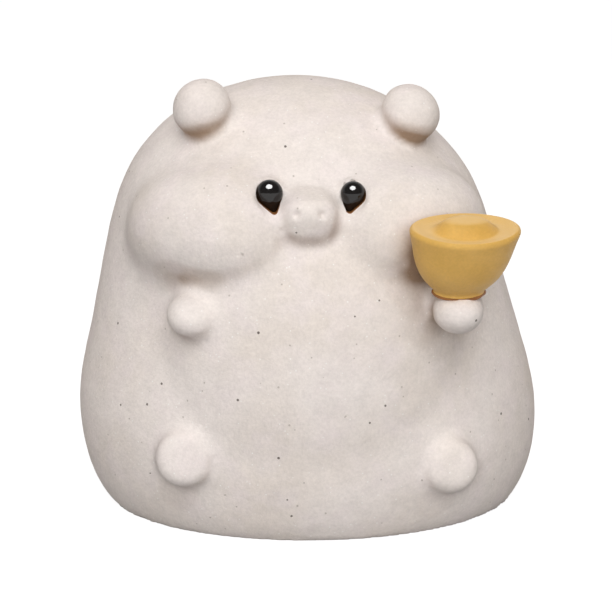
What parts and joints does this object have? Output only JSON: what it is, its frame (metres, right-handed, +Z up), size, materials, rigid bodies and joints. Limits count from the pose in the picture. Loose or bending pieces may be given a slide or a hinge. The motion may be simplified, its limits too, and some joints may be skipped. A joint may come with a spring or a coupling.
{
  "type": "pig figurine",
  "caption": "Seated, gumdrop-shaped pig ornament in sandy cast stone, with bead eyes and a boat-shaped gold ingot held up on its left hand.",
  "frame": {"origin": "centre of the flat base, on the surface it stands on", "axes": "+Z up; the pig faces -Y; its own left side, with the ingot, is at +X"},
  "size_m": [0.0671, 0.0614, 0.0619],
  "materials": {
    "sandy_clay": "matte off-white cast stone resin with fine sand and sparse dark specks",
    "matte_gold": "smooth matte ochre-gold paint",
    "black_bead": "polished black"
  },
  "bodies": {
    "root": {"pig_body": "sandy_clay", "gold_ingot": "matte_gold", "left_eye": "black_bead", "right_eye": "black_bead"}
  },
  "joints": []
}
